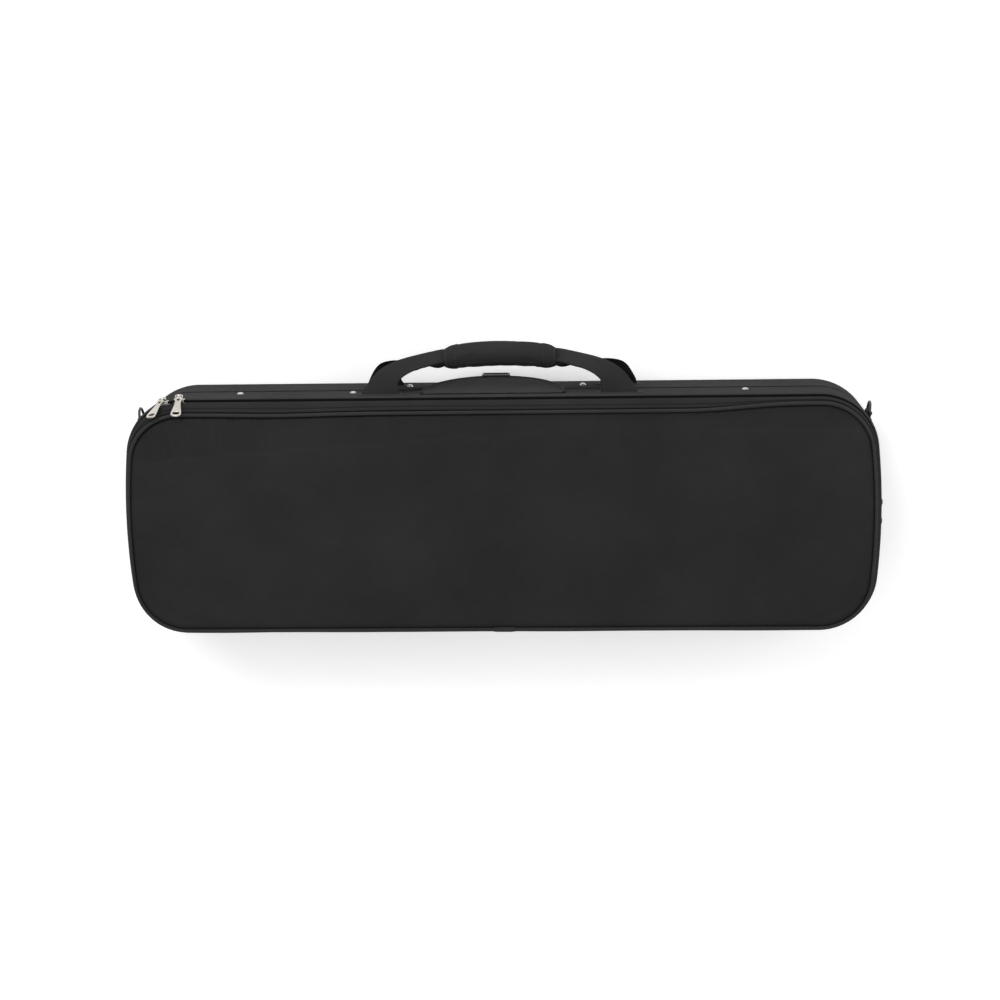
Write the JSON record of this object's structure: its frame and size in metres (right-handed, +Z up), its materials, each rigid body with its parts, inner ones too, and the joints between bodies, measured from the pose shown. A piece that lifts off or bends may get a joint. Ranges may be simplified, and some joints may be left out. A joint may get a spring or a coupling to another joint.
{
  "type": "violin case",
  "caption": "Oblong fabric-covered violin case with a zipped music pocket, padded webbing handle, shoulder-strap rings and a fitted plush interior.",
  "frame": {"origin": "on the surface that the case's back rests on, under the middle of the body", "axes": "+X along the case, +Y from the spine to the handle side, +Z up from the back through the lid to the music pocket"},
  "size_m": [0.796, 0.3086, 0.1452],
  "materials": {
    "cover_fabric": "matt woven polyester",
    "panel_fabric": "smooth closely woven polyester",
    "piping": "satin binding",
    "webbing": "ribbed nylon webbing",
    "grip_fabric": "padded woven polyester",
    "zip_tape": "woven tape with a nylon coil",
    "foam_shell": "closed-cell foam",
    "plush": "short-pile plush",
    "plush_dark": "short-pile plush",
    "hook_and_loop": "rough",
    "nickel": "bright nickel plate",
    "black_metal": "black enamel",
    "hinge_steel": "satin",
    "black_plastic": "moulded"
  },
  "bodies": {
    "base": {"base_frame": "foam_shell", "base_board": "foam_shell", "base_side_cover": "cover_fabric", "base_back_panel": "cover_fabric", "base_lining": "plush", "base_zip_tape": "zip_tape", "hinge_base_leaves": "hinge_steel", "hinge_pins": "hinge_steel", "bed_end_blocks": "plush", "bed_waist_blocks": "plush", "bed_shoulder_blocks": "plush", "neck_rails": "plush", "end_divider": "plush", "suspension_pads": "plush_dark", "neck_cradle": "plush_dark", "accessory_box": "plush_dark", "rear_strap": "webbing", "rear_strap_rivets": "nickel", "ring_tab_left": "webbing", "ring_tab_right": "webbing", "flap_loop_patch": "hook_and_loop"},
    "neck_strap": {"neck_strap": "webbing"},
    "accessory_lid": {"accessory_lid": "plush", "accessory_pull_tab": "webbing"},
    "d_ring_left": {"d_ring_left": "black_metal"},
    "d_ring_right": {"d_ring_right": "black_metal"},
    "main_slider_upper": {"main_slider_upper": "black_metal"},
    "main_slider_lower": {"main_slider_lower": "black_metal"},
    "main_pull_upper": {"main_pull_upper": "black_metal"},
    "main_pull_lower": {"main_pull_lower": "black_metal"},
    "lid": {"lid_frame": "foam_shell", "lid_board": "foam_shell", "lid_cover": "cover_fabric", "lid_lining": "plush", "lid_zip_tape": "zip_tape", "pocket_tape_lower": "zip_tape", "hinge_lid_leaves": "hinge_steel", "cover_screws": "nickel", "bow_tip_sleeves": "plush_dark", "spinner_posts": "nickel", "front_strap": "webbing", "grip_pad": "grip_fabric"},
    "bow_spinner_upper": {"bow_spinner_upper": "black_plastic"},
    "bow_spinner_lower": {"bow_spinner_lower": "black_plastic"},
    "storm_flap": {"storm_flap": "cover_fabric", "flap_tip_plate": "nickel", "flap_hook_patch": "hook_and_loop"},
    "pocket": {"pocket_panel": "panel_fabric", "pocket_gusset": "cover_fabric", "pocket_piping": "piping", "pocket_tape_upper": "zip_tape"},
    "pocket_slider_left": {"pocket_slider_left": "nickel"},
    "pocket_slider_right": {"pocket_slider_right": "nickel"},
    "pocket_pull_left": {"pocket_pull_left": "nickel"},
    "pocket_pull_right": {"pocket_pull_right": "nickel"}
  },
  "joints": [
    {"name": "lid_hinge", "type": "hinge", "parent": "base", "child": "lid", "pos_m": [0, -0.1292, 0.07], "axis": [1, 0, 0], "range_deg": [0, 100]},
    {"name": "pocket_hinge", "type": "hinge", "parent": "lid", "child": "pocket", "pos_m": [0, -0.123, 0.122], "axis": [1, 0, 0], "range_deg": [0, 70]},
    {"name": "storm_flap_hinge", "type": "hinge", "parent": "lid", "child": "storm_flap", "pos_m": [-0.007, 0.1264, 0.106], "axis": [1, 0, 0], "range_deg": [0, 18]},
    {"name": "accessory_lid_hinge", "type": "hinge", "parent": "base", "child": "accessory_lid", "pos_m": [-0.233, -0.1107, 0.0503], "axis": [1, 0, 0], "range_deg": [0, 60]},
    {"name": "neck_strap_hinge", "type": "hinge", "parent": "base", "child": "neck_strap", "pos_m": [-0.06, -0.03, 0.0579], "axis": [1, 0, 0], "range_deg": [0, 45]},
    {"name": "bow_spinner_upper_turn", "type": "hinge", "parent": "lid", "child": "bow_spinner_upper", "pos_m": [0.27, 0.048, 0.0945], "axis": [0, 0, 1], "range_deg": [0, 90]},
    {"name": "bow_spinner_lower_turn", "type": "hinge", "parent": "lid", "child": "bow_spinner_lower", "pos_m": [0.27, -0.048, 0.0945], "axis": [0, 0, 1], "range_deg": [-90, 0]},
    {"name": "d_ring_right_swing", "type": "hinge", "parent": "base", "child": "d_ring_right", "pos_m": [0.38735, 0.09461, 0.046], "axis": [0, 0, 1], "range_deg": [-80, 30]},
    {"name": "d_ring_left_swing", "type": "hinge", "parent": "base", "child": "d_ring_left", "pos_m": [-0.38735, 0.09461, 0.046], "axis": [0, 0, 1], "range_deg": [-30, 80]},
    {"name": "pocket_slider_left_travel", "type": "hinge", "parent": "lid", "child": "pocket_slider_left", "pos_m": [-0.32978, 0.064, 0.119], "axis": [0, 0, 1], "range_deg": [0, 60]},
    {"name": "pocket_slider_right_travel", "type": "slide", "parent": "lid", "child": "pocket_slider_right", "axis": [1, 0, 0], "range_m": [0, 0.64]},
    {"name": "pocket_pull_left_swing", "type": "hinge", "parent": "pocket_slider_left", "child": "pocket_pull_left", "pos_m": [-0.34993, 0.1258, 0.119], "axis": [-0.9507, -0.31, 0], "range_deg": [0, 200]},
    {"name": "pocket_pull_right_swing", "type": "hinge", "parent": "pocket_slider_right", "child": "pocket_pull_right", "pos_m": [-0.332, 0.129, 0.119], "axis": [-1, 0, 0], "range_deg": [0, 200]},
    {"name": "main_slider_upper_travel", "type": "hinge", "parent": "base", "child": "main_slider_upper", "pos_m": [-0.305, 0, 0.07], "axis": [0, 0, 1], "range_deg": [0, 3.4]},
    {"name": "main_pull_upper_swing", "type": "hinge", "parent": "main_slider_upper", "child": "main_pull_upper", "pos_m": [0.3992, 0.00201, 0.07], "axis": [0.0029, -1, 0], "range_deg": [0, 165]},
    {"name": "main_slider_lower_travel", "type": "hinge", "parent": "base", "child": "main_slider_lower", "pos_m": [-0.305, 0, 0.07], "axis": [0, 0, 1], "range_deg": [-3.4, 0]},
    {"name": "main_pull_lower_swing", "type": "hinge", "parent": "main_slider_lower", "child": "main_pull_lower", "pos_m": [0.39897, -0.01811, 0.07], "axis": [-0.0257, -0.9997, 0], "range_deg": [0, 165]}
  ]
}
